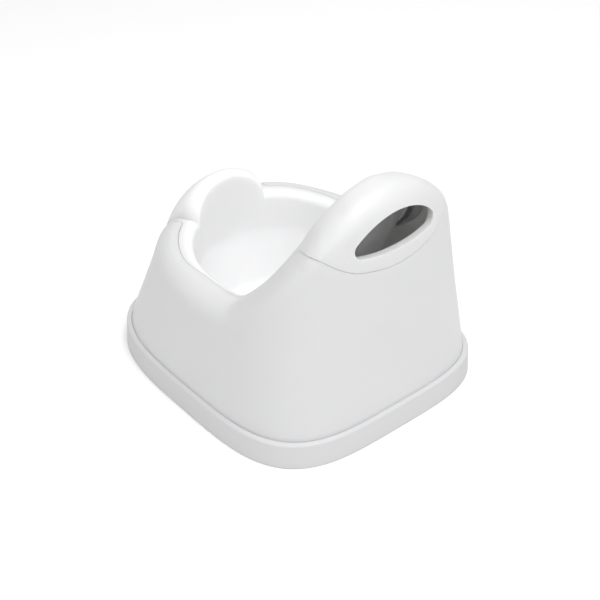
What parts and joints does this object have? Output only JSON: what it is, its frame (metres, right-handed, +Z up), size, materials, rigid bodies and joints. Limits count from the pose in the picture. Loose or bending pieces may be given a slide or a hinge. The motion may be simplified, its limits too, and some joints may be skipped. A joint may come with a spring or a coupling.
{
  "type": "potty training chair",
  "caption": "Toddler potty chair: flared skirt shell on an anti-slip band, with a lift-out pot that carries a splash guard, bowl and a high back with a hand slot.",
  "frame": {"origin": "middle of the floor outline, on the floor", "axes": "+Z up; -Y is the way the seated child faces, where the splash guard is; +Y the back with the hand slot; +X the child's left hand side"},
  "size_m": [0.2861, 0.33, 0.2589],
  "materials": {
    "shell_plastic": "satin white moulding",
    "pot_plastic": "satin white moulding, glossier in the bowl",
    "band_rubber": "soft matt white anti-slip elastomer"
  },
  "bodies": {
    "chair": {"outer_shell": "shell_plastic", "foot_band": "band_rubber"},
    "pot": {"inner_pot": "pot_plastic"}
  },
  "joints": [
    {"name": "pot lifts out", "type": "slide", "parent": "chair", "child": "pot", "axis": [0, 0, 1], "range_m": [0, 0.25]}
  ]
}
